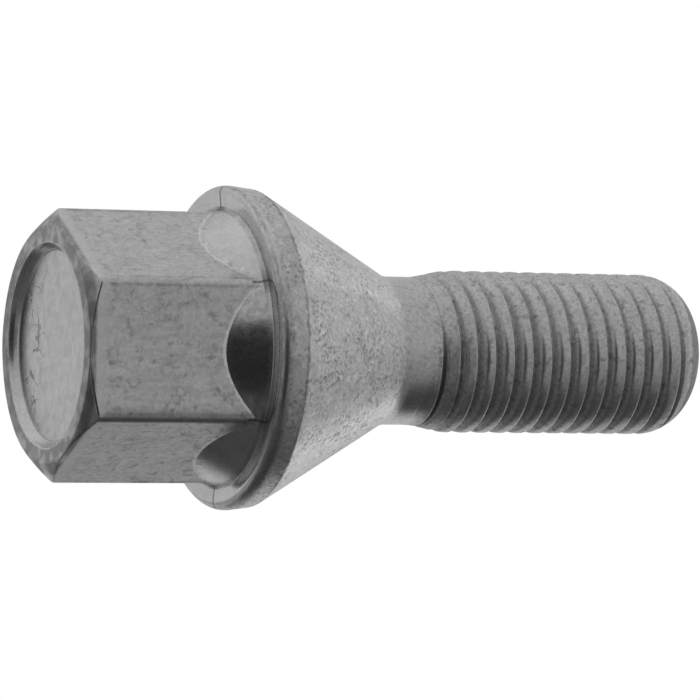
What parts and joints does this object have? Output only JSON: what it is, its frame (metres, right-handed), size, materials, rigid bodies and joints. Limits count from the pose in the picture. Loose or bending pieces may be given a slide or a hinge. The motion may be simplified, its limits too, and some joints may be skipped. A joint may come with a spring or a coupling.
{
  "type": "wheel bolt",
  "caption": "Wheel bolt with hexagon head recessed in its end face, wide collar, 60 degree taper seat, plain neck and fine right-hand thread.",
  "frame": {"origin": "centre of the head's end face, on which the bolt stands", "axes": "+Z along the bolt's axis, from the head to the thread's tip; a flat of the hexagon faces -Y"},
  "size_m": [0.0234, 0.0234, 0.0505],
  "materials": {
    "bolt_steel": "dull grey plating, lightly mottled and scratched"
  },
  "bodies": {
    "root": {"wheel_bolt": "bolt_steel"}
  },
  "joints": []
}
